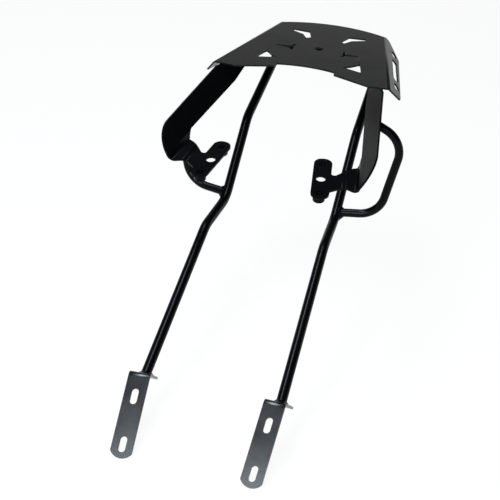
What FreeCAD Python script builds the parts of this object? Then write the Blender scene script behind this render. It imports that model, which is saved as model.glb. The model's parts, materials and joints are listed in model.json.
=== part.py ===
import FreeCAD, Part
import math
import os

# Motorcycle luggage rack of welded steel: a folded deck on two long strut tubes and two folded side
# brackets, with a grab loop on each side, three-hole tabs at the tail and slotted foot brackets below.
# Millimetres and degrees. The deck's top face is Z = 0 and faces up, +Y points to the rear of the
# motorcycle and +X to its right. The origin is on the deck's top face, on the centre line.
# Every right-hand piece is modelled, and its left-hand twin is its mirror image in X = 0.

Vector = FreeCAD.Vector
UP = Vector(0, 0, 1)

# Side of the blocks that trim the ends of tubes and beads, in tube diameters
TRIM_BLOCK = 6

# Most of the strip's front edge that the round of its nose may take up
NOSE_SHARE = 0.92

# How far the slope of a weld bead runs on into the tube before it is cut, in legs of the bead
BEAD_OVERRUN = 0.25

SIZES = (
    # Deck, in plan
    ("deck_front_half", 150.0),
    ("deck_front", -100.0),
    ("deck_rear_half", 97.0),
    ("deck_rear", 141.5),
    ("deck_rear_bulge", 22.5),
    ("nose_half", 115.5),
    ("nose_reach", 4.5),
    ("shoulder_half", 51.0),
    ("shoulder_setback", 23.0),
    ("recess_half", 49.0),
    ("recess_setback", 34.5),
    ("recess_rise", 7.5),
    ("deck_sheet", 3.0),
    # Deck flanges, with lengths along the fold and depths square to it
    ("fold_radius", 7.0),
    ("flange_angle", 48.0),
    ("flange_front_cut", 13.0),
    ("flange_front_depth", 32.0),
    ("flange_rear_cut", 42.0),
    ("flange_rear_depth", 37.0),
    ("flange_tail_depth", 12.0),
    ("flange_corner_round", 4.0),
    ("strap_slot_width", 13.0),
    ("strap_slot_length", 22.0),
    ("strap_slot_depth", 22.5),
    ("strap_slot_front", 51.0),
    ("strap_slot_rear", 203.0),
    ("long_slot_length", 96.0),
    ("cutout_round", 1.5),
    ("centre_hole", 16.0),
    ("centre_hole_y", 31.0),
    # Strut tube: its axis runs straight between these points
    ("tube_od", 16.0),
    ("tube_wall", 1.5),
    ("strut_bend_radius", 55.0),
    ("foot_x", 107.0),
    ("foot_y", -533.6),
    ("foot_z", -349.1),
    ("low_bend_x", 99.6),
    ("low_bend_y", -275.0),
    ("low_bend_z", -217.0),
    ("loop_bend_x", 95.2),
    ("loop_bend_y", -179.5),
    ("loop_bend_z", -211.7),
    ("top_bend_x", 96.4),
    ("top_bend_y", -61.0),
    ("top_bend_z", -107.5),
    ("strut_end_x", 93.2),
    ("strut_end_y", 146.0),
    ("strut_end_z", -40.0),
    # Cross tube and upright gussets under the deck
    ("cross_tube_od", 14.0),
    ("cross_tube_y", 136.0),
    ("gusset_sheet", 4.0),
    ("gusset_front", 84.0),
    ("gusset_rear", 122.0),
    # Side bracket: frame at the middle tab hole, folded along lines that run with the strip
    ("tab_x", 89.4),
    ("tab_y", -298.3),
    ("tab_z", -85.6),
    ("bracket_yaw", 10.3),
    ("bracket_pitch", 11.8),
    ("bracket_sheet", 3.5),
    ("bracket_bend_radius", 4.0),
    ("tab_inner", 13.5),
    ("tab_outer", 15.5),
    ("tab_front", 48.5),
    ("tab_rear", 52.0),
    ("tab_round", 13.0),
    ("tab_notch_front", 29.5),
    ("tab_notch_rear", 11.0),
    ("tab_ledge", 7.0),
    ("notch_round", 3.5),
    ("neck_front", 18.0),
    ("neck_rear", 22.0),
    ("neck_round", 7.0),
    ("panel_front", 27.0),
    ("panel_front_inset", 5.0),
    ("panel_rear", 29.5),
    ("panel_rear_inset", 9.0),
    ("fold_front", 28.0),
    ("fold_rear", 34.5),
    ("hole_pitch", 37.0),
    ("middle_hole", 15.0),
    ("joggle_start", 34.0),
    ("joggle_run", 5.0),
    ("joggle_rise", 2.5),
    ("fold_out", 56.4),
    ("step_out", 2.4),
    ("step_rise", 9.1),
    ("strip_angle", 55.7),
    ("strip_low", 1.5),
    ("strip_high", 39.6),
    ("strip_flare", 1.15),
    ("strip_front", 31.5),
    ("strip_front_round", 8.0),
    ("strip_nose", 21.5),
    ("strip_nose_round", 48.0),
    ("strip_heel", 45.5),
    ("strip_heel_round", 10.0),
    ("strip_taper_start", 204.0),
    ("strip_taper", 6.6),
    # Bushes under the end holes of the tabs
    ("bush_od", 19.0),
    ("bush_bore", 10.5),
    ("bush_length", 9.5),
    # Grab loop
    ("loop_od", 14.0),
    ("loop_start", 11.5),
    ("loop_low_x", 164.4),
    ("loop_low_z", -199.5),
    ("loop_high_x", 193.0),
    ("loop_high_z", -62.0),
    ("loop_y", -160.5),
    ("loop_low_radius", 42.0),
    ("loop_high_radius", 43.0),
    ("loop_seat_along", 136.5),
    ("loop_seat_up", 15.0),
    # Foot bracket
    ("foot_sheet", 4.0),
    ("foot_bend_radius", 5.0),
    ("foot_width", 33.2),
    ("foot_toe", 3.5),
    ("foot_slope", 41.0),
    ("foot_length", 132.5),
    ("foot_end_rise", 9.5),
    ("lip_slope", 38.5),
    ("lip_front", 39.8),
    ("lip_rear", 14.5),
    ("foot_slot_width", 10.5),
    ("foot_slot_length", 24.0),
    ("foot_slot_first", 38.0),
    ("foot_slot_pitch", 73.5),
    # Weld beads
    ("weld_leg", 4.5),
    ("bush_weld_leg", 2.5),
    ("bracket_weld_length", 60.0),
    ("bracket_weld_start", 222.0),
)

# Lightening holes on the right half of the deck, each a bent triangle, as (x, y) corners
CUTOUTS = (
    ((36.5, 112.5), (66.3, 115.5), (67.3, 106.5), (44.2, 94.0), (34.6, 77.0), (27.0, 82.5)),
    ((41.0, 44.0), (50.0, 28.0), (80.0, 21.0), (51.0, 16.0), (41.0, 3.0), (44.0, 23.0)),
    ((82.0, -12.5), (87.5, -33.0), (91.5, -50.0), (72.0, -43.0), (56.0, -38.5), (70.0, -28.0)),
)

doc = FreeCAD.newDocument("luggage_rack")
sheet = doc.addObject("Spreadsheet::Sheet", "sizes")
for row, (alias, value) in enumerate(SIZES, start=1):
    sheet.set("A%d" % row, alias)
    sheet.set("B%d" % row, str(value))
    sheet.setAlias("B%d" % row, alias)
doc.recompute()


def size(alias):
    return float(getattr(sheet, alias))


def unit(vector):
    result = Vector(vector)
    result.normalize()
    return result


class Frame:
    """A place with three directions of its own."""

    def __init__(self, origin, u, v, w):
        self.origin, self.u, self.v, self.w = origin, u, v, w

    def at(self, along_u, along_v, along_w=0.0):
        return self.origin + self.u * along_u + self.v * along_v + self.w * along_w


def corner_arc(before, corner, after, radius):
    """Start, middle and end of the arc that rounds a corner."""
    back = unit(before - corner)
    onward = unit(after - corner)
    half_angle = back.getAngle(onward) / 2
    reach = radius / math.tan(half_angle)
    inward = unit(back + onward)
    middle = corner + inward * (radius / math.sin(half_angle) - radius)
    return corner + back * reach, middle, corner + onward * reach


def line_edge(start, end):
    return Part.LineSegment(start, end).toShape()


def arc_edge(start, middle, end):
    return Part.Arc(start, middle, end).toShape()


def rounded_wire(corners, closed):
    """Straight runs joined by tangent arcs through (point, radius) corners."""
    points = [point for point, radius in corners]
    count = len(points)
    stations = []
    for index, (point, radius) in enumerate(corners):
        at_end = not closed and index in (0, count - 1)
        if at_end or radius == 0:
            stations.append((point,))
        else:
            stations.append(corner_arc(points[index - 1], point, points[(index + 1) % count], radius))
    edges = []
    for index, station in enumerate(stations):
        if len(station) > 1:
            edges.append(arc_edge(*station))
        if closed or index < count - 1:
            edges.append(line_edge(station[-1], stations[(index + 1) % count][0]))
    return Part.Wire(edges)


def outline(frame, corners):
    """A face in a frame's U-V plane from (u, v, radius) corners."""
    return Part.Face(rounded_wire([(frame.at(u, v), radius) for u, v, radius in corners], closed=True))


def slot_face(frame, u, v, length, width):
    """A round-ended slot that runs along the frame's U direction."""
    straight = (length - width) / 2
    radius = width / 2
    corners = [frame.at(u - straight, v - radius), frame.at(u + straight, v - radius),
               frame.at(u + straight, v + radius), frame.at(u - straight, v + radius)]
    edges = [line_edge(corners[0], corners[1]),
             arc_edge(corners[1], frame.at(u + straight + radius, v), corners[2]),
             line_edge(corners[2], corners[3]),
             arc_edge(corners[3], frame.at(u - straight - radius, v), corners[0])]
    return Part.Face(Part.Wire(edges))


def folded_face(corners, across, thickness):
    """Section of a folded sheet: a path of (point, radius) corners, and the same path set off to one side."""
    points = [point for point, radius in corners]
    near, far = [], []

    def set_off(point, direction):
        return point + unit(direction.cross(across)) * thickness

    def add(start, end):
        direction = end - start
        near.append(line_edge(start, end))
        far.append(line_edge(set_off(start, direction), set_off(end, direction)))

    last = points[0]
    for before, (corner, radius), after in zip(points, corners[1:], points[2:]):
        start, middle, end = corner_arc(before, corner, after, radius)
        incoming = unit(corner - before)
        outgoing = unit(after - corner)
        add(last, start)
        near.append(arc_edge(start, middle, end))
        far.append(arc_edge(set_off(start, incoming), set_off(middle, incoming + outgoing),
                            set_off(end, outgoing)))
        last = end
    add(last, points[-1])
    first_end = line_edge(points[0], set_off(points[0], points[1] - points[0]))
    last_end = line_edge(points[-1], set_off(points[-1], points[-1] - points[-2]))
    return Part.Face(Part.Wire(Part.__sortEdges__(near + [last_end] + far + [first_end])))


def feature(name, shape):
    result = doc.addObject("Part::Feature", name)
    result.Shape = shape
    return result


def extrusion(name, shape, direction, length, reverse="0"):
    """A prism whose lengths, ahead of its outline and behind it, are expressions of the sizes."""
    result = doc.addObject("Part::Extrusion", name)
    result.Base = feature(name + "_outline", shape)
    result.DirMode = "Custom"
    result.Dir = direction
    result.Solid = True
    result.setExpression("LengthFwd", length)
    result.setExpression("LengthRev", reverse)
    return result


def boolean(kind, name, base, tool):
    result = doc.addObject("Part::" + kind, name)
    result.Base = base
    result.Tool = tool
    return result


def union(name, pieces):
    result = doc.addObject("Part::MultiFuse", name)
    result.Shapes = pieces
    result.Refine = True
    return result


def mirror(name, source):
    result = doc.addObject("Part::Mirroring", name)
    result.Source = source
    result.Base = Vector(0, 0, 0)
    result.Normal = Vector(1, 0, 0)
    return result


def trim_block(name, place, facing):
    """A cube that stands with the middle of one face on a place, and facing away from it."""
    result = doc.addObject("Part::Box", name)
    for side in ("Length", "Width", "Height"):
        result.setExpression(side, "%d * sizes.tube_od" % TRIM_BLOCK)
    turn = FreeCAD.Rotation(UP, facing)
    half = TRIM_BLOCK * size("tube_od") / 2
    result.Placement = FreeCAD.Placement(place - turn.multVec(Vector(half, half, 0)), turn)
    return result


def cylinder(name, place, axis, radius, height):
    result = doc.addObject("Part::Cylinder", name)
    result.setExpression("Radius", radius)
    result.setExpression("Height", height)
    result.Placement = FreeCAD.Placement(place, FreeCAD.Rotation(UP, axis))
    return result


def cone(name, place, axis, base_radius, top_radius, height):
    result = doc.addObject("Part::Cone", name)
    result.setExpression("Radius1", base_radius)
    result.setExpression("Radius2", top_radius)
    result.setExpression("Height", height)
    result.Placement = FreeCAD.Placement(place, FreeCAD.Rotation(UP, axis))
    return result


def rod(name, corners, radius):
    """A round bar swept along straight runs and tangent arcs."""
    spine = feature(name + "_axis", rounded_wire(corners, closed=False))
    section = doc.addObject("Part::Circle", name + "_section")
    section.setExpression("Radius", radius)
    heading = corners[1][0] - corners[0][0]
    section.Placement = FreeCAD.Placement(corners[0][0], FreeCAD.Rotation(UP, heading))
    result = doc.addObject("Part::Sweep", name)
    result.Sections = [section]
    result.Spine = (spine, ["Edge%d" % (index + 1) for index in range(len(spine.Shape.Edges))])
    result.Solid = True
    return result


def hollow(name, corners, radius):
    """A tube, and the solid bar of its outside that cuts its neighbours."""
    bar = rod(name + "_bar", corners, radius)
    inside = rod(name + "_inside", corners, radius + " - sizes.tube_wall")
    return bar, boolean("Cut", name, bar, inside)


# Places that several pieces share

def strut_points():
    names = ("foot", "low_bend", "loop_bend", "top_bend", "strut_end")
    return [Vector(size(name + "_x"), size(name + "_y"), size(name + "_z")) for name in names]


def strut_at(y):
    """A point of the strut's axis on its last run, under the deck."""
    top_bend, end = strut_points()[3:]
    share = (y - top_bend.y) / (end.y - top_bend.y)
    return top_bend + (end - top_bend) * share


def bracket_frame():
    """U outward, V rearward along the hole line, W up from the tab, at the middle hole."""
    yaw = math.radians(size("bracket_yaw"))
    pitch = math.radians(size("bracket_pitch"))
    outward = Vector(math.cos(yaw), math.sin(yaw), 0)
    along = Vector(-math.sin(yaw) * math.cos(pitch), math.cos(yaw) * math.cos(pitch), math.sin(pitch))
    return Frame(Vector(size("tab_x"), size("tab_y"), size("tab_z")), outward, along, outward.cross(along))


def strip_frame():
    """U along the strip, V up its face from its lower bend, W up and inward out of its inner face."""
    bracket = bracket_frame()
    tilt = math.radians(size("strip_angle"))
    up_face = bracket.u * math.cos(tilt) + bracket.w * math.sin(tilt)
    bend = bracket.at(size("fold_out") + size("step_out"), 0, size("joggle_rise") + size("step_rise"))
    return Frame(bend, bracket.v, up_face, up_face.cross(bracket.v))


def foot_frame():
    """U across the foot, V forward, W up, where the strut's axis meets the lip."""
    toe = math.radians(size("foot_toe"))
    across = Vector(math.cos(toe), -math.sin(toe), 0)
    forward = Vector(-math.sin(toe), -math.cos(toe), 0)
    return Frame(strut_points()[0], across, forward, UP)


def lip_direction():
    frame = foot_frame()
    slope = math.radians(size("lip_slope"))
    return frame.v * math.cos(slope) + frame.w * math.sin(slope)


def lip_normal():
    return unit(lip_direction().cross(foot_frame().u))


def flange_frame():
    """U rearward along the fold, V down the flange, W out of its outer face, at the front of the fold."""
    front = Vector(size("deck_front_half"), size("deck_front"), 0)
    rear = Vector(size("deck_rear_half"), size("deck_rear"), 0)
    along = unit(rear - front)
    outward = along.cross(UP)
    tilt = math.radians(size("flange_angle"))
    down = outward * math.cos(tilt) - UP * math.sin(tilt)
    return Frame(front, along, down, down.cross(along)), outward, (rear - front).Length


# Deck

def deck_face():
    """Plan of the flat deck, which stops where the side folds begin."""
    fold, outward, length = flange_frame()
    setback = size("fold_radius") * math.tan(math.radians(size("flange_angle")) / 2)
    inset = outward * -setback
    front = fold.origin + inset
    rear = fold.at(length, 0) + inset
    base = size("deck_front")
    nose = Vector(size("nose_half"), base - size("nose_reach"), 0)
    shoulder = Vector(size("shoulder_half"), base + size("shoulder_setback"), 0)
    recess = Vector(size("recess_half"), base + size("recess_setback"), 0)
    recess_top = Vector(0, recess.y + size("recess_rise"), 0)
    tail = Vector(0, size("deck_rear") + size("deck_rear_bulge"), 0)

    def other(point):
        return Vector(-point.x, point.y, point.z)

    side = [recess, shoulder, nose, front, rear]
    edges = [line_edge(start, end) for start, end in zip(side, side[1:])]
    edges.append(arc_edge(rear, tail, other(rear)))
    edges += [line_edge(other(start), other(end)) for start, end in zip(side, side[1:])]
    edges.append(arc_edge(recess, recess_top, other(recess)))
    return Part.Face(Part.Wire(Part.__sortEdges__(edges)))


def cutout_faces():
    plan = Frame(Vector(0, 0, 0), Vector(1, 0, 0), Vector(0, 1, 0), UP)
    return [outline(plan, [(x, y, size("cutout_round")) for x, y in corners]) for corners in CUTOUTS]


def flange():
    """The bent edge of the deck on the right, with its strap slots."""
    frame, outward, length = flange_frame()
    angle = size("flange_angle")
    radius = size("fold_radius")
    setback = radius * math.tan(math.radians(angle) / 2)
    round_corner = size("flange_corner_round")
    plate = extrusion("flange_plate", outline(frame, (
        (0, setback, 0),
        (size("flange_front_cut"), size("flange_front_depth"), round_corner),
        (length - size("flange_rear_cut"), size("flange_rear_depth"), round_corner),
        (length, size("flange_tail_depth"), round_corner),
        (length, setback, 0))), frame.w * -1, "sizes.deck_sheet")
    start = frame.origin - outward * setback
    section = folded_face([(start - outward * radius, 0), (frame.origin, radius),
                           (frame.at(0, setback + radius), 0)], frame.u * -1, size("deck_sheet"))
    bend_room = Part.Face(Part.makePolygon([start, frame.origin + UP, frame.at(0, setback),
                                            start - UP * (radius * 2), start]))
    bend = extrusion("fold_bend", section.common(bend_room).Faces[0], frame.u, str(length))
    slots = [slot_face(frame, size("strap_slot_front"), size("strap_slot_depth"),
                       size("strap_slot_length"), size("strap_slot_width")),
             slot_face(frame, size("strap_slot_rear"), size("strap_slot_depth"),
                       size("strap_slot_length"), size("strap_slot_width")),
             slot_face(frame, (size("strap_slot_front") + size("strap_slot_rear")) / 2,
                       size("strap_slot_depth"), size("long_slot_length"), size("strap_slot_width"))]
    cuts = extrusion("strap_slots", Part.makeCompound(slots), frame.w, "sizes.deck_sheet",
                     "2 * sizes.deck_sheet")
    return union("right_flange", [boolean("Cut", "slotted_flange", plate, cuts), bend])


def top_plate():
    flat = extrusion("deck", deck_face(), UP * -1, "sizes.deck_sheet")
    holes = extrusion("deck_cutouts", Part.makeCompound(cutout_faces()), UP, "sizes.deck_sheet",
                      "2 * sizes.deck_sheet")
    centre = cylinder("deck_centre_hole", Vector(0, size("centre_hole_y"), -2 * size("deck_sheet")), UP,
                      "sizes.centre_hole / 2", "3 * sizes.deck_sheet")
    cuts = doc.addObject("Part::MultiFuse", "deck_cuts")
    cuts.Shapes = [holes, mirror("left_deck_cutouts", holes), centre]
    side = flange()
    folded = union("folded_deck", [flat, side, mirror("left_flange", side)])
    return boolean("Cut", "top_plate", folded, cuts)


# Struts, cross tube and gussets

def strut():
    points = strut_points()
    run_on = unit(points[0] - points[1]) * size("tube_od")
    radius = size("strut_bend_radius")
    corners = [(points[0] + run_on, 0)] + [(point, radius) for point in points[1:-1]] + [(points[-1], 0)]
    bar, tube = hollow("long_strut", corners, "sizes.tube_od / 2")
    under_lip = trim_block("strut_foot_trim", points[0], lip_normal() * -1)
    return bar, boolean("Cut", "right_strut_tube", tube, under_lip)


def cross_tube(right_bar):
    end = strut_at(size("cross_tube_y"))
    corners = [(end, 0), (Vector(-end.x, end.y, end.z), 0)]
    tube = hollow("cross_run", corners, "sizes.cross_tube_od / 2")[1]
    coped = boolean("Cut", "cross_run_right_end", tube, right_bar)
    return boolean("Cut", "cross_tube", coped, mirror("left_strut_bar", right_bar))


def gusset(right_bar):
    front = strut_at(size("gusset_front"))
    rear = strut_at(size("gusset_rear"))
    top = -size("deck_sheet")
    face = Part.Face(Part.makePolygon([front, rear, Vector(rear.x, rear.y, top),
                                       Vector(front.x, front.y, top), front]))
    plate = extrusion("gusset_plate", face, unit((rear - front).cross(UP)), "sizes.gusset_sheet / 2",
                      "sizes.gusset_sheet / 2")
    return boolean("Cut", "right_gusset", plate, right_bar)


# Side brackets and their bushes

def tab_outline():
    """Plan of the tab, neck, panel and step in the bracket's frame."""
    inner = -size("tab_inner")
    outer = size("tab_outer")
    front = -size("tab_front")
    rear = size("tab_rear")
    end = min(size("tab_round"), (outer - inner) / 2)
    neck = size("joggle_start")
    fold = size("fold_out")
    past_step = fold + size("step_out") + size("bracket_sheet")
    notch_round = size("notch_round")
    neck_round = size("neck_round")
    return ((inner, front, end), (outer, front, end),
            (outer, -size("tab_notch_front"), notch_round),
            (neck, -size("neck_front"), neck_round),
            (fold - size("panel_front_inset"), -size("panel_front"), neck_round),
            (past_step, -size("fold_front"), 0), (past_step, size("fold_rear"), 0),
            (fold - size("panel_rear_inset"), size("panel_rear"), neck_round),
            (neck, size("neck_rear"), neck_round),
            (outer + size("tab_ledge"), size("tab_notch_rear"), notch_round),
            (outer, size("tab_notch_rear"), notch_round),
            (outer, rear, end), (inner, rear, end))


def strip_outline():
    """Plan of the strip and step in the strip's frame, which runs on past the deck's underside."""
    strip = strip_frame()
    low = size("strip_low")
    high = size("strip_high")
    foot = -size("step_rise")
    front = -size("strip_front")
    nose = -size("strip_nose")
    end = (-size("deck_sheet") - strip.origin.z) / strip.u.z
    taper = (end - size("strip_taper_start")) * math.tan(math.radians(size("strip_taper")))
    flare = (end - nose) * math.tan(math.radians(size("strip_flare")))
    front_edge = math.hypot(high, nose - front)
    front_turn = math.atan2(nose - front, high) - math.atan2(front + size("fold_front"), -foot)
    nose_turn = math.atan2(high, nose - front)
    front_room = (1 - NOSE_SHARE) * front_edge / math.tan(abs(front_turn) / 2)
    nose_room = NOSE_SHARE * front_edge / math.tan(nose_turn / 2)
    front_round = min(size("strip_front_round"), front_room)
    nose_round = min(size("strip_nose_round"), nose_room)
    return ((-size("fold_front"), foot, 0), (front, 0, front_round), (nose, high, nose_round),
            (end, high + flare, 0), (end, low + taper, 0), (size("strip_taper_start"), low, 0),
            (size("strip_heel"), low, size("strip_heel_round")), (size("fold_rear"), foot, 0))


def side_bracket():
    bracket = bracket_frame()
    strip = strip_frame()
    bend = size("bracket_bend_radius")
    joggle = size("joggle_start")
    rise = size("joggle_rise")
    ahead = bracket.v * (-2 * size("tab_front"))
    strip_plan = strip_outline()
    past_strip = max(v for u, v, radius in strip_plan) + bend
    path = [(bracket.at(-size("tab_inner") - bend, 0), 0), (bracket.at(joggle, 0), bend),
            (bracket.at(joggle + size("joggle_run"), 0, rise), bend),
            (bracket.at(size("fold_out"), 0, rise), bend), (strip.origin, bend),
            (strip.at(0, past_strip), 0)]
    section = folded_face([(point + ahead, radius) for point, radius in path], bracket.v * -1,
                          size("bracket_sheet"))
    run = max(u for u, v, radius in strip_plan) - bracket.v.dot(ahead)
    folded = extrusion("bracket_fold", section, bracket.v, str(run))
    tab = extrusion("tab_plan", outline(bracket, tab_outline()), bracket.w,
                    "sizes.joggle_rise + sizes.step_rise", "2 * sizes.bracket_sheet")
    plan = extrusion("strip_plan", outline(strip, strip_plan), strip.w, "sizes.bracket_sheet",
                     "3 * sizes.bracket_sheet")
    shaped = boolean("Common", "bracket_shape", folded, union("bracket_plan", [tab, plan]))
    deck_room = doc.addObject("Part::Box", "deck_room")
    deck_room.setExpression("Length", "2 * sizes.deck_front_half")
    deck_room.setExpression("Width", "sizes.deck_rear - sizes.deck_front + sizes.strip_high")
    deck_room.setExpression("Height", "sizes.strip_high + sizes.deck_sheet")
    deck_room.setExpression("Placement.Base.y", "sizes.deck_front - sizes.strip_high")
    deck_room.setExpression("Placement.Base.z", "-sizes.deck_sheet")
    trimmed = boolean("Cut", "trimmed_bracket", shaped, deck_room)
    return boolean("Cut", "right_side_bracket", trimmed, tab_holes())


def tab_holes():
    bracket = bracket_frame()
    holes = []
    for name, diameter, step in (("front", "bush_bore", -1), ("middle", "middle_hole", 0),
                                 ("rear", "bush_bore", 1)):
        place = bracket.at(0, step * size("hole_pitch"), -2 * size("bracket_sheet"))
        holes.append(cylinder(name + "_tab_hole", place, bracket.w, "sizes.%s / 2" % diameter,
                              "4 * sizes.bracket_sheet"))
    result = doc.addObject("Part::MultiFuse", "tab_holes")
    result.Shapes = holes
    return result


def bushes():
    """A bush under each end hole, and the weld bead round its top."""
    bracket = bracket_frame()
    pieces = {}
    for name, side in (("front", -1), ("rear", 1)):
        seat = bracket.at(0, side * size("hole_pitch"), -size("bracket_sheet"))
        down = bracket.w * -1
        body = cylinder(name + "_bush_body", seat, down, "sizes.bush_od / 2", "sizes.bush_length")
        bore = cylinder(name + "_bush_bore", seat, down, "sizes.bush_bore / 2", "sizes.bush_length")
        pieces[name + "_bush"] = boolean("Cut", "right_%s_bush" % name, body, bore)
        bead = cone(name + "_bush_bead", seat, down, "sizes.bush_od / 2 + sizes.bush_weld_leg",
                    "sizes.bush_od / 2", "sizes.bush_weld_leg")
        pieces[name + "_bush_weld"] = boolean("Cut", "right_%s_bush_weld" % name, bead, body)
    return pieces


# Grab loops

def loop_points():
    """Axis of the loop, from the strut out, up and in to the back of the strip."""
    bend, top = strut_points()[2:4]
    start = bend + unit(top - bend) * size("loop_start")
    seat = strip_frame().at(size("loop_seat_along"), size("loop_seat_up"), -size("bracket_sheet"))
    y = size("loop_y")
    return [start, Vector(size("loop_low_x"), y, size("loop_low_z")),
            Vector(size("loop_high_x"), y, size("loop_high_z")), seat]


def grab_loop(right_bar):
    points = loop_points()
    run_on = unit(points[3] - points[2]) * size("loop_od")
    corners = [(points[0], 0), (points[1], size("loop_low_radius")), (points[2], size("loop_high_radius")),
               (points[3] + run_on, 0)]
    bar, tube = hollow("loop", corners, "sizes.loop_od / 2")
    coped = boolean("Cut", "loop_strut_end", tube, right_bar)
    past_strip = trim_block("loop_seat_trim", points[3], strip_frame().w)
    return bar, boolean("Cut", "right_grab_loop", coped, past_strip)


# Foot brackets

def foot_bracket():
    frame = foot_frame()
    lip = lip_direction()
    slope = math.radians(size("foot_slope"))
    down = frame.v * math.cos(slope) - frame.w * math.sin(slope)
    half_width = size("foot_width") / 2
    corner = frame.origin + lip * size("lip_front")
    length = size("foot_length")
    edge = frame.u * -half_width
    section = folded_face([(frame.origin - lip * size("lip_rear") + edge, 0),
                           (corner + edge, size("foot_bend_radius") + size("foot_sheet")),
                           (corner + down * length + edge, 0)], frame.u * -1, size("foot_sheet"))
    folded = extrusion("foot_fold", section, frame.u, "sizes.foot_width")
    face = Frame(corner, down, frame.u, down.cross(frame.u))
    round_start = length - size("foot_end_rise")
    beyond = half_width + size("foot_sheet")
    end_cut = Part.Face(Part.Wire([
        arc_edge(face.at(round_start, -half_width), face.at(length, 0), face.at(round_start, half_width)),
        line_edge(face.at(round_start, half_width), face.at(round_start, beyond)),
        line_edge(face.at(round_start, beyond), face.at(length + beyond, beyond)),
        line_edge(face.at(length + beyond, beyond), face.at(length + beyond, -beyond)),
        line_edge(face.at(length + beyond, -beyond), face.at(round_start, -beyond)),
        line_edge(face.at(round_start, -beyond), face.at(round_start, -half_width))]))
    slots = [slot_face(face, size("foot_slot_first") + step * size("foot_slot_pitch"), 0,
                       size("foot_slot_length"), size("foot_slot_width")) for step in range(2)]
    cuts = extrusion("foot_cuts", Part.makeCompound(slots + [end_cut]), face.w, "2 * sizes.foot_sheet",
                     "2 * sizes.foot_sheet")
    return boolean("Cut", "right_foot_bracket", folded, cuts)


# Weld beads

def ellipse_wire(centre, long_half, short_half):
    """A closed ellipse about a centre, from the vectors of its two half axes."""
    return Part.Wire(Part.Ellipse(centre + long_half, centre + short_half, centre).toShape())


def seat_bead(name, bar, seat, along, normal, radius):
    """A fillet with even legs round a tube that stands, leaning, on a flat face."""
    leg = size("weld_leg")
    tip = BEAD_OVERRUN * leg
    lean = along.dot(normal)
    across = unit(normal.cross(along))
    lengthwise = across.cross(normal)
    skirt = Part.makeLoft([
        ellipse_wire(seat, lengthwise * (radius / lean + leg), across * (radius + leg)),
        ellipse_wire(seat + along * ((leg + tip) / lean), lengthwise * (radius / lean - tip),
                     across * (radius - tip))], True, True)
    return boolean("Cut", name, feature(name + "_skirt", skirt), bar)


def foot_weld(strut_bar):
    points = strut_points()
    return seat_bead("right_foot_weld", strut_bar, points[0], unit(points[1] - points[0]), lip_normal(),
                     size("tube_od") / 2)


def loop_upper_weld(loop_bar):
    points = loop_points()
    return seat_bead("right_loop_upper_weld", loop_bar, points[3], unit(points[2] - points[3]),
                     strip_frame().w * -1, size("loop_od") / 2)


def loop_lower_weld(strut_bar, loop_bar):
    """A fillet where the loop meets the strut's side: long along the strut, and about as wide as it."""
    leg, loop_radius, strut_radius = size("weld_leg"), size("loop_od") / 2, size("tube_od") / 2
    tip = BEAD_OVERRUN * leg
    start, low = loop_points()[:2]
    bend, top = strut_points()[2:4]
    out = unit(low - start)
    across = unit(out.cross(top - bend))
    lengthwise = across.cross(out)
    base = strut_radius / 2
    skirt = Part.makeLoft([
        ellipse_wire(start + out * base, lengthwise * (loop_radius + leg + strut_radius - base),
                     across * strut_radius),
        ellipse_wire(start + out * (strut_radius + leg + tip), lengthwise * (loop_radius - tip / 2),
                     across * (loop_radius - tip))], True, True)
    outside = boolean("Cut", "loop_lower_outside", feature("loop_lower_skirt", skirt), strut_bar)
    return boolean("Cut", "right_loop_lower_weld", outside, loop_bar)


def bracket_weld():
    """A bead along the corner between the strip's inner face and the deck's underside."""
    strip = strip_frame()
    start = strip.at(size("bracket_weld_start"), 0)
    corner = start + strip.v * ((-size("deck_sheet") - start.z) / strip.v.z)
    along = unit(strip.w.cross(UP))
    inward = UP.cross(along)
    down = unit(strip.w.cross(along))
    leg = size("weld_leg")
    face = Part.Face(Part.makePolygon([corner, corner + inward * leg, corner + down * leg, corner]))
    return extrusion("right_bracket_weld", face, along, "sizes.bracket_weld_length")


strut_bar, strut_tube = strut()
loop_bar, loop_tube = grab_loop(strut_bar)
right_pieces = {
    "strut_tube": strut_tube,
    "grab_loop": loop_tube,
    "gusset": gusset(strut_bar),
    "side_bracket": side_bracket(),
    "foot_bracket": foot_bracket(),
    "foot_weld": foot_weld(strut_bar),
    "loop_lower_weld": loop_lower_weld(strut_bar, loop_bar),
    "loop_upper_weld": loop_upper_weld(loop_bar),
    "bracket_weld": bracket_weld(),
}
right_pieces.update(bushes())

nodes = {"top_plate": top_plate(), "cross_tube": cross_tube(strut_bar)}
for name, piece in right_pieces.items():
    nodes["right_" + name] = piece
    nodes["left_" + name] = mirror("left_" + name, piece)
doc.recompute()

for item in doc.Objects:
    failed = [state for state in item.State if state in ("Invalid", "Error")]
    if failed:
        raise RuntimeError("%s could not be made: %s" % (item.Name, failed))
for name, piece in nodes.items():
    if piece.Shape.isNull() or not piece.Shape.isValid():
        raise RuntimeError("%s has no valid shape" % name)
    if len(piece.Shape.Solids) != 1:
        raise RuntimeError("%s is %d solids" % (name, len(piece.Shape.Solids)))
    piece.Label = name

os.makedirs("parts", exist_ok=True)
for name, piece in nodes.items():
    piece.Shape.exportStep("parts/%s.step" % name)
    box = piece.Shape.BoundBox
    print("%-24s %9.0f mm3  X %.1f..%.1f  Y %.1f..%.1f  Z %.1f..%.1f" % (
        name, piece.Shape.Volume, box.XMin, box.XMax, box.YMin, box.YMax, box.ZMin, box.ZMax))
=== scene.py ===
import json
import math

import bmesh
import bpy
import numpy
from mathutils import Matrix, Vector


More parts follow.
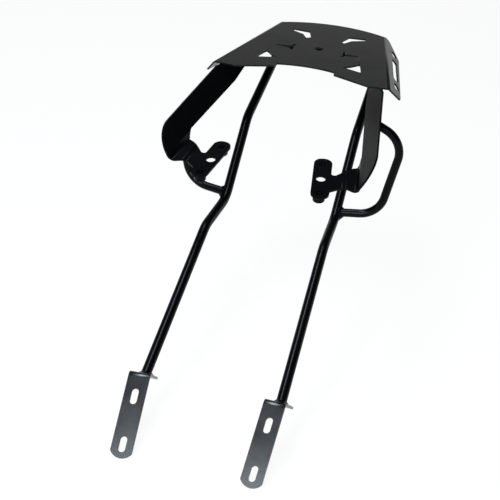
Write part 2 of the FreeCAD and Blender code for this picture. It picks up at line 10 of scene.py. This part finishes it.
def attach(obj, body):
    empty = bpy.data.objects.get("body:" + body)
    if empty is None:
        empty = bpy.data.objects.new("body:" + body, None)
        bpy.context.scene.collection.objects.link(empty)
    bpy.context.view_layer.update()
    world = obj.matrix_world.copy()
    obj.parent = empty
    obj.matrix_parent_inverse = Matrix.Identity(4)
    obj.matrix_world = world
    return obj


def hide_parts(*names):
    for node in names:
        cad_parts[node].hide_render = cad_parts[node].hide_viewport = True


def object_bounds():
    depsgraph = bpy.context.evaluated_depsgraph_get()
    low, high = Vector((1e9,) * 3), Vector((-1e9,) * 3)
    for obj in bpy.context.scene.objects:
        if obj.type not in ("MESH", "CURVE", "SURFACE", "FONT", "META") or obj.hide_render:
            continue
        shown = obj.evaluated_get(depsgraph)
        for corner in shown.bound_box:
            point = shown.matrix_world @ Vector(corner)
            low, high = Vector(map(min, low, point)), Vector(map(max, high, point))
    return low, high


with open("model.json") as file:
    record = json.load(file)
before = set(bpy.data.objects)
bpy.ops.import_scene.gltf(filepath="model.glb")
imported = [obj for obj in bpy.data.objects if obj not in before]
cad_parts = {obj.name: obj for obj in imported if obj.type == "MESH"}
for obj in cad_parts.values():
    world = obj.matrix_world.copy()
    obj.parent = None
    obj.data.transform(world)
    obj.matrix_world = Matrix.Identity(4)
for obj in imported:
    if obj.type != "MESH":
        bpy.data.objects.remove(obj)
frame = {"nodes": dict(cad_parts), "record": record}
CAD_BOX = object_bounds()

# Powder-coated motorcycle luggage rack, in metres. The deck's top face is Z = 0, +Y points to the rear.
MM = 0.001

# Easing of cut sheet edges and turned corners under the coat
EDGE_EASE = {
    "plate_coat": 0.45 * MM,
    "bracket_coat": 0.45 * MM,
    "foot_coat": 0.45 * MM,
    "bush_coat": 0.35 * MM,
}
EASE_STEPS = 2
SHARP_EDGE = math.radians(28)
FLAT_FACE = math.radians(0.4)
NARROW_FACE = 0.6 * MM
JOIN_GAP = 0.05 * MM

# Weld beads: the ripples that the pool leaves, and the fineness of the mesh that carries them
RIPPLE_PITCH = 2.6 * MM
RIPPLE_HEIGHT = 0.14 * MM
MEAN_CREST = 0.64
BEAD_FILL = 0.2 * MM
BEAD_VOXEL = 0.3 * MM
BEAD_SMOOTHING = 4
SMOOTHING_SHARE = 0.5
STRAIGHT_BEAD = 4.0

# Powder coat: sizes of spray patches and dust flecks, and how far they change its colour and gloss
SPRAY_PATCH_MM = 70
FLECK_MM = 1.1
FLECK_START = 0.45
FLECK_FULL = 0.75
FLECK_SHARE = 0.6
SPRAY_LOW = 0.3
SPRAY_HIGH = 0.7
GLOSSIER = 0.04
DULLER = 0.05
PEEL_STRENGTH = 0.35
COAT_IOR = 1.5

# Camera, as the photograph was taken
CAMERA_PLACE = Vector((457.2, -2153.3, 815.5)) * MM
CAMERA_TARGET = Vector((-27.4, -250.0, -262.1)) * MM
CAMERA_ROLL = math.radians(3.77)
FOCAL_LENGTH = 97.2
SENSOR_WIDTH = 36.0
IMAGE_PIXELS = 500
AXIS_OFFSET_PIXELS = 0.5

# Studio: a white floor that ends in a cove, and the colours of its light
FLOOR_GAP = 1.0 * MM
FLOOR_RADIUS = 9.0
COVE_RADIUS = 3.0
COVE_STEPS = 12
TURN_STEPS = 64
FLOOR_PAINT = "#f4f4f4"
FLOOR_WHITE = 0.93
ROOM_LIGHT = 0.06
DAYLIGHT = "#e9f4ff"
WHITE = "#ffffff"


def linear(hex_colour):
    """An sRGB hex colour as linear RGBA."""
    channels = [int(hex_colour[i:i + 2], 16) / 255 for i in (1, 3, 5)]
    return tuple(c / 12.92 if c <= 0.04045 else ((c + 0.055) / 1.055) ** 2.4 for c in channels) + (1.0,)


def add_node(material, kind, settings=None, links=None):
    """A node with its settings, and with its inputs set to values or linked to other nodes' outputs."""
    tree = material.node_tree
    node = tree.nodes.new(kind)
    for name, value in (settings or {}).items():
        setattr(node, name, value)
    for socket, source in (links or {}).items():
        if isinstance(source, bpy.types.NodeSocket):
            tree.links.new(source, node.inputs[socket])
        else:
            node.inputs[socket].default_value = source
    return node


def new_material(name):
    """An empty material that is made of nodes."""
    material = bpy.data.materials.new(name)
    material.use_nodes = True
    material.node_tree.nodes.clear()
    return material


def per_metre(size_mm):
    """Noise scale whose features are about this many millimetres across."""
    return 1.0 / (size_mm * MM)


# Materials

def powder_coat(name, dark, light, roughness, specular, peel_mm, peel_height_mm):
    """Baked powder coat on steel: near black, with a fine orange-peel skin that breaks up the gloss, slow
    differences in gloss from the spray, and a dusty bloom of slightly lighter flecks."""
    material = new_material(name)
    place = add_node(material, "ShaderNodeTexCoord").outputs["Object"]
    peel = add_node(material, "ShaderNodeTexNoise", {"noise_dimensions": "3D"},
                    {"Vector": place, "Scale": per_metre(peel_mm), "Detail": 2.0, "Roughness": 0.5})
    spray = add_node(material, "ShaderNodeTexNoise", {"noise_dimensions": "3D"},
                     {"Vector": place, "Scale": per_metre(SPRAY_PATCH_MM), "Detail": 3.0, "Roughness": 0.55})
    fleck = add_node(material, "ShaderNodeTexNoise", {"noise_dimensions": "3D"},
                     {"Vector": place, "Scale": per_metre(FLECK_MM), "Detail": 1.0})
    dust = add_node(material, "ShaderNodeMapRange", None,
                    {"Value": fleck.outputs["Fac"], "From Min": FLECK_START, "From Max": FLECK_FULL,
                     "To Min": 0.0, "To Max": FLECK_SHARE})
    bloom = add_node(material, "ShaderNodeMath", {"operation": "MULTIPLY"},
                     {0: dust.outputs["Result"], 1: spray.outputs["Fac"]})
    colour = add_node(material, "ShaderNodeMix", {"data_type": "RGBA"},
                      {"Factor": bloom.outputs["Value"], "A": linear(dark), "B": linear(light)})
    gloss = add_node(material, "ShaderNodeMapRange", None,
                     {"Value": spray.outputs["Fac"], "From Min": SPRAY_LOW, "From Max": SPRAY_HIGH,
                      "To Min": roughness - GLOSSIER, "To Max": roughness + DULLER})
    bump = add_node(material, "ShaderNodeBump", None,
                    {"Height": peel.outputs["Fac"], "Strength": PEEL_STRENGTH,
                     "Distance": peel_height_mm * MM})
    shader = add_node(material, "ShaderNodeBsdfPrincipled", None,
                      {"Base Color": colour.outputs["Result"], "Roughness": gloss.outputs["Result"],
                       "Normal": bump.outputs["Normal"], "Specular IOR Level": specular, "IOR": COAT_IOR})
    add_node(material, "ShaderNodeOutputMaterial", None, {"Surface": shader.outputs["BSDF"]})
    return material


def studio_floor():
    """Matt white studio floor, kept near white for the camera and for reflections."""
    material = new_material("matt_white_floor")
    path = add_node(material, "ShaderNodeLightPath")
    seen = add_node(material, "ShaderNodeMath", {"operation": "ADD", "use_clamp": True},
                    {0: path.outputs["Is Camera Ray"], 1: path.outputs["Is Glossy Ray"]})
    shown = add_node(material, "ShaderNodeMath", {"operation": "ADD", "use_clamp": True},
                     {0: seen.outputs["Value"], 1: path.outputs["Is Transmission Ray"]})
    share = add_node(material, "ShaderNodeMath", {"operation": "MULTIPLY"},
                     {0: shown.outputs["Value"], 1: FLOOR_WHITE})
    paint = add_node(material, "ShaderNodeBsdfDiffuse", None, {"Color": linear(FLOOR_PAINT)})
    glow = add_node(material, "ShaderNodeEmission", None, {"Color": linear(WHITE), "Strength": 1.0})
    mix = add_node(material, "ShaderNodeMixShader", None,
                   {0: share.outputs["Value"], 1: paint.outputs["BSDF"], 2: glow.outputs["Emission"]})
    add_node(material, "ShaderNodeOutputMaterial", None, {"Surface": mix.outputs["Shader"]})
    return material


# One black powder coat in lit and shaded copies. The parts differ in colour and reflection strength as
# painted light and shade, not as different finishes. The tube, bracket and bush copies are darker and
# reflect little, as painted shade that stands for dark surroundings. The foot copy reflects strongly, as a
# painted highlight. The plate copy is lighter than the tubes.
COATS = {
    "plate_coat": powder_coat("satin_black_powder_coat", dark="#060607", light="#101012",
                              roughness=0.34, specular=0.19, peel_mm=0.9, peel_height_mm=0.04),
    "bracket_coat": powder_coat("black_coat_painted_shade_bracket", dark="#030304", light="#09090b",
                                roughness=0.30, specular=0.05, peel_mm=0.9, peel_height_mm=0.03),
    "foot_coat": powder_coat("black_coat_painted_highlight_foot", dark="#050506", light="#0d0d0f",
                             roughness=0.23, specular=0.45, peel_mm=0.9, peel_height_mm=0.03),
    "tube_coat": powder_coat("black_coat_painted_shade_tube", dark="#030304", light="#09090b",
                             roughness=0.25, specular=0.085, peel_mm=1.1, peel_height_mm=0.02),
    "bush_coat": powder_coat("black_coat_painted_shade_bush", dark="#030304", light="#09090b",
                             roughness=0.28, specular=0.05, peel_mm=0.9, peel_height_mm=0.02),
    "weld_coat": powder_coat("black_coat_over_weld", dark="#030304", light="#09090b",
                             roughness=0.24, specular=0.12, peel_mm=0.8, peel_height_mm=0.04),
}


def dress(piece, slot):
    """The piece in its slot's coat."""
    piece.data.materials.clear()
    piece.data.materials.append(COATS[slot])


for entry in frame["record"]["subparts"]:
    dress(frame["nodes"][entry["node"]], entry["material_slot"])


# Eased sheet edges and weld beads

def cad_copy(node):
    """The node's own surface, with its loose triangles joined."""
    shape = bmesh.new()
    shape.from_mesh(frame["nodes"][node].data)
    bmesh.ops.remove_doubles(shape, verts=shape.verts, dist=JOIN_GAP)
    return shape


def stand_for(node, name, slot, shape):
    """A piece of this shape, which stands for the CAD node on the rack's one body."""
    mesh = bpy.data.meshes.new(name)
    shape.to_mesh(mesh)
    shape.free()
    piece = bpy.data.objects.new(name, mesh)
    bpy.context.scene.collection.objects.link(piece)
    dress(piece, slot)
    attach(piece, "root")
    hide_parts(node)


def ease_edges(node, slot, ease):
    """The same sheet or turned part with its cut edges eased, so that they catch a line of light. Bends,
    rounds and eased edges are narrow faces and shaded smooth, and the flats between them stay flat."""
    shape = cad_copy(node)
    bmesh.ops.dissolve_limit(shape, angle_limit=FLAT_FACE, verts=shape.verts, edges=shape.edges)
    cut_edges = [edge for edge in shape.edges if edge.calc_face_angle(0.0) > SHARP_EDGE]
    bmesh.ops.bevel(shape, geom=cut_edges, offset=ease, offset_type="OFFSET", segments=EASE_STEPS,
                    profile=0.5, affect="EDGES", clamp_overlap=True, material=-1)
    for face in shape.faces:
        face.smooth = face.calc_area() < NARROW_FACE * face.calc_perimeter()
    stand_for(node, "eased_" + node, slot, shape)


def fine_mesh(node):
    """The node's surface in small even faces."""
    mesh = bpy.data.meshes.new("coarse_" + node)
    shape = cad_copy(node)
    shape.to_mesh(mesh)
    shape.free()
    coarse = bpy.data.objects.new("coarse_" + node, mesh)
    bpy.context.scene.collection.objects.link(coarse)
    remesh = coarse.modifiers.new("remesh", "REMESH")
    remesh.mode = "VOXEL"
    remesh.voxel_size = BEAD_VOXEL
    fine = bpy.data.meshes.new_from_object(coarse.evaluated_get(bpy.context.evaluated_depsgraph_get()))
    bpy.data.objects.remove(coarse)
    bpy.data.meshes.remove(mesh)
    shape = bmesh.new()
    shape.from_mesh(fine)
    bpy.data.meshes.remove(fine)
    return shape


def ripple_phase(shape):
    """For each vertex, the angle of the ripple's wave where it lies: along a straight bead, or round the
    middle of one that goes round a tube or a bush."""
    places = numpy.array([vertex.co for vertex in shape.verts])
    offsets = places - places.mean(axis=0)
    spreads, axes = numpy.linalg.eigh(offsets.T @ offsets)
    _, side, along = (offsets @ axes).T
    if spreads[2] > STRAIGHT_BEAD * spreads[1]:
        return along / RIPPLE_PITCH * math.pi
    radius = numpy.hypot(side, along)
    ripples = round(2 * math.pi * radius.mean() / RIPPLE_PITCH)
    return numpy.arctan2(side, along) * ripples / 2


def weld_bead(node, slot):
    """The fillet weld as the torch leaves it: a rounded bead whose toes run into both pieces, with the
    overlapping ripples of the pool along it."""
    shape = fine_mesh(node)
    for _ in range(BEAD_SMOOTHING):
        bmesh.ops.smooth_vert(shape, verts=shape.verts, factor=SMOOTHING_SHARE, use_axis_x=True,
                              use_axis_y=True, use_axis_z=True)
    shape.normal_update()
    crests = numpy.abs(numpy.cos(ripple_phase(shape)))
    lifts = [(vertex, vertex.normal * (BEAD_FILL + RIPPLE_HEIGHT * (float(crest) - MEAN_CREST)))
             for vertex, crest in zip(shape.verts, crests)]
    for vertex, lift in lifts:
        vertex.co += lift
    for face in shape.faces:
        face.smooth = True
    stand_for(node, "bead_" + node, slot, shape)


for entry in frame["record"]["subparts"]:
    node, slot = entry["node"], entry["material_slot"]
    if slot in EDGE_EASE:
        ease_edges(node, slot, EDGE_EASE[slot])
    elif slot == "weld_coat":
        weld_bead(node, slot)


# Studio

def softbox(name, place, target, width, depth, watts, colour):
    """A rectangular lamp at a place, turned to face its target."""
    light = bpy.data.lights.new(name, "AREA")
    light.color = linear(colour)[:3]
    light.shape = "RECTANGLE"
    light.size = width
    light.size_y = depth
    light.energy = watts
    lamp = bpy.data.objects.new(name, light)
    lamp.location = place
    lamp.rotation_euler = (Vector(target) - Vector(place)).to_track_quat("-Z", "Y").to_euler()
    bpy.context.scene.collection.objects.link(lamp)


def build_floor():
    """A flat disc that rises into a cove all round, so that a low view doesn't look out past its rim."""
    level = CAD_BOX[0][2] - FLOOR_GAP
    mesh = bpy.data.meshes.new("studio_floor")
    shape = bmesh.new()
    rim = shape.verts.new((FLOOR_RADIUS, 0, level))
    bmesh.ops.spin(shape, geom=[rim], cent=(FLOOR_RADIUS, 0, level + COVE_RADIUS), axis=(0, 1, 0),
                   dvec=(0, 0, 0), angle=-math.pi / 2, steps=COVE_STEPS)
    shape.edges.new((shape.verts.new((0, 0, level)), rim))
    bmesh.ops.spin(shape, geom=shape.verts[:] + shape.edges[:], cent=(0, 0, 0), axis=(0, 0, 1),
                   dvec=(0, 0, 0), angle=2 * math.pi, steps=TURN_STEPS, use_merge=True)
    bmesh.ops.remove_doubles(shape, verts=shape.verts, dist=JOIN_GAP)
    bmesh.ops.recalc_face_normals(shape, faces=shape.faces)
    shape.to_mesh(mesh)
    shape.free()
    mesh.materials.append(studio_floor())
    floor = bpy.data.objects.new("studio_floor", mesh)
    bpy.context.scene.collection.objects.link(floor)


def build_world():
    """A faint even light from all round."""
    world = bpy.data.worlds.new("studio_room")
    world.use_nodes = True
    background = world.node_tree.nodes["Background"]
    background.inputs["Color"].default_value = linear(WHITE)
    background.inputs["Strength"].default_value = ROOM_LIGHT
    bpy.context.scene.world = world


def build_camera():
    """The photograph's camera, rolled about its own axis."""
    camera = bpy.data.cameras.new("photo_camera")
    camera.lens = FOCAL_LENGTH
    camera.sensor_width = SENSOR_WIDTH
    camera.shift_x = -AXIS_OFFSET_PIXELS / IMAGE_PIXELS
    camera.shift_y = AXIS_OFFSET_PIXELS / IMAGE_PIXELS
    holder = bpy.data.objects.new("photo_camera", camera)
    aim = (CAMERA_TARGET - CAMERA_PLACE).to_track_quat("-Z", "Y")
    roll = Matrix.Rotation(CAMERA_ROLL, 4, "Z")
    holder.matrix_world = Matrix.Translation(CAMERA_PLACE) @ aim.to_matrix().to_4x4() @ roll
    bpy.context.scene.collection.objects.link(holder)
    bpy.context.scene.camera = holder


build_floor()
build_world()
build_camera()
softbox("overhead_softbox", place=(-0.45, -0.25, 1.73), target=(0, -0.3, -0.2), width=1.45, depth=0.55,
        watts=44, colour=DAYLIGHT)
softbox("front_softbox", place=(-0.06, -1.78, 0.72), target=(0, -0.6, -0.38), width=0.8, depth=0.6,
        watts=40, colour=DAYLIGHT)
softbox("rear_panel", place=(-1.0, 2.8, 0.75), target=(0, 0, -0.1), width=2.4, depth=1.5,
        watts=2.5, colour=WHITE)
bpy.context.scene.view_settings.view_transform = "Standard"
